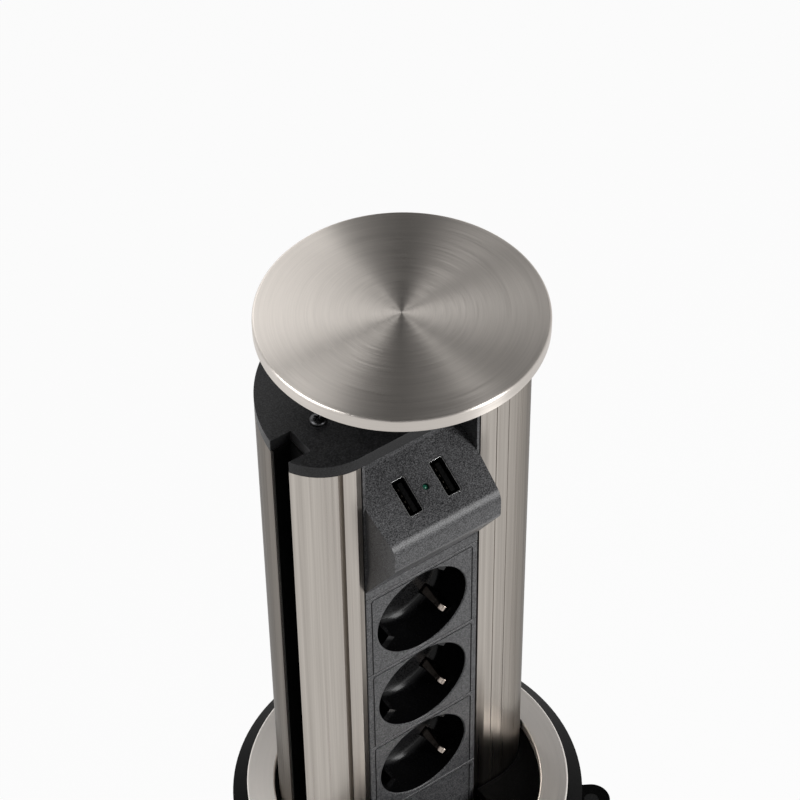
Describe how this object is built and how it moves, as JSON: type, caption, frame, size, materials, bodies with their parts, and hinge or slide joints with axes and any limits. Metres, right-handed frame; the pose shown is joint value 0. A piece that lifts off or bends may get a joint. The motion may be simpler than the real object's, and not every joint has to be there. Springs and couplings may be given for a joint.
{
  "type": "pop-up power socket tower",
  "caption": "Pop-up worktop socket tower: round brushed steel lid, D-shaped aluminium column with earthed sockets and a sloped USB charger, in a steel-trimmed flange.",
  "frame": {"origin": "on the tower's axis, in the plane of the worktop's top face, which is the underside of the flange seal", "axes": "+Z out of the worktop along the tower's travel, sockets face -Y, the lined channel seen in the picture is at -X"},
  "size_m": [0.1449, 0.1524, 0.3546],
  "materials": {
    "lid_steel": "stainless steel, brushed in circles",
    "profile_aluminium": "anodised aluminium, brushed lengthways",
    "ring_steel": "stainless steel, brushed round the ring",
    "anthracite_plastic": "fine-grained anthracite plastic",
    "black_plastic": "plain black plastic",
    "cap_plastic": "grained dark plastic",
    "seal_rubber": "soft black rubber",
    "felt_pad": "dense felt",
    "screw_steel": "blackened steel",
    "port_steel": "pressed tinned steel",
    "contact_brass": "bright brass",
    "clip_metal": "nickel-plated spring bronze",
    "board_laminate": "green lacquered laminate",
    "wound_block": "taped transformer block",
    "can_aluminium": "plain aluminium can",
    "lens_green": "tinted clear lens",
    "grey_plastic": "plain grey plastic"
  },
  "bodies": {
    "flange": {"flange_body": "black_plastic", "trim_ring": "ring_steel", "worktop_seal": "seal_rubber", "upper_guide_plate": "black_plastic", "lower_guide_plate": "black_plastic", "guide_screws": "screw_steel", "brake_pad_left": "felt_pad", "brake_pad_right": "felt_pad"},
    "clamp_ring": {"clamp_ring": "black_plastic"},
    "clamp_screw_1": {"clamp_screw_1": "black_plastic", "clamp_pad_1": "seal_rubber"},
    "shutter_1": {"shutter_1": "black_plastic"},
    "clamp_screw_2": {"clamp_screw_2": "black_plastic", "clamp_pad_2": "seal_rubber"},
    "shutter_2": {"shutter_2": "black_plastic"},
    "clamp_screw_3": {"clamp_screw_3": "black_plastic", "clamp_pad_3": "seal_rubber"},
    "shutter_3": {"shutter_3": "black_plastic"},
    "tower": {"tower_profile": "profile_aluminium", "channel_liner_left": "black_plastic", "channel_liner_right": "black_plastic", "top_end_cap": "cap_plastic", "bottom_end_cap": "cap_plastic", "top_cap_screws": "screw_steel", "bottom_cap_screws": "screw_steel", "lid_disc": "lid_steel", "lid_backing": "black_plastic", "lid_column": "black_plastic", "column_screws": "screw_steel", "stop_collar": "black_plastic", "module_screws": "screw_steel", "live_busbar": "contact_brass", "neutral_busbar": "contact_brass", "spacer_strip": "anthracite_plastic", "blank_panel": "anthracite_plastic", "terminal_block": "grey_plastic", "terminal_screws": "screw_steel", "usb_housing": "anthracite_plastic", "usb_shell_left": "port_steel", "usb_shell_right": "port_steel", "usb_tongue_left": "black_plastic", "usb_tongue_right": "black_plastic", "usb_led_lens": "lens_green", "usb_port_board": "board_laminate", "charger_board": "board_laminate", "charger_transformer": "wound_block", "charger_capacitor": "can_aluminium", "cable_gland": "black_plastic", "gland_locknut": "black_plastic", "gland_cap": "black_plastic", "socket_front_1": "anthracite_plastic", "socket_back_1": "grey_plastic", "earth_clips_1": "clip_metal", "socket_front_2": "anthracite_plastic", "socket_back_2": "grey_plastic", "earth_clips_2": "clip_metal", "socket_front_3": "anthracite_plastic", "socket_back_3": "grey_plastic", "earth_clips_3": "clip_metal"}
  },
  "joints": [
    {"name": "tower_lift", "type": "slide", "parent": "flange", "child": "tower", "axis": [0, 0, 1], "range_m": [-0.257, 0]},
    {"name": "clamp_ring_turn", "type": "hinge", "parent": "flange", "child": "clamp_ring", "pos_m": [0, 0, -0.02], "axis": [0, 0, 1], "range_deg": [0, 40]},
    {"name": "clamp_screw_1_rise", "type": "slide", "parent": "clamp_ring", "child": "clamp_screw_1", "axis": [0, 0, 1], "range_m": [0, 0.012]},
    {"name": "shutter_1_turn", "type": "hinge", "parent": "tower", "child": "shutter_1", "pos_m": [-0.0045, 0.003, 0.1316], "axis": [0, 1, 0], "range_deg": [0, 45], "stiffness_Nm_per_rad": 0.002},
    {"name": "clamp_screw_2_rise", "type": "slide", "parent": "clamp_ring", "child": "clamp_screw_2", "axis": [0, 0, 1], "range_m": [0, 0.012]},
    {"name": "shutter_2_turn", "type": "hinge", "parent": "tower", "child": "shutter_2", "pos_m": [-0.0045, 0.003, 0.0881], "axis": [0, 1, 0], "range_deg": [0, 45], "stiffness_Nm_per_rad": 0.002},
    {"name": "clamp_screw_3_rise", "type": "slide", "parent": "clamp_ring", "child": "clamp_screw_3", "axis": [0, 0, 1], "range_m": [0, 0.012]},
    {"name": "shutter_3_turn", "type": "hinge", "parent": "tower", "child": "shutter_3", "pos_m": [-0.0045, 0.003, 0.0446], "axis": [0, 1, 0], "range_deg": [0, 45], "stiffness_Nm_per_rad": 0.002}
  ]
}
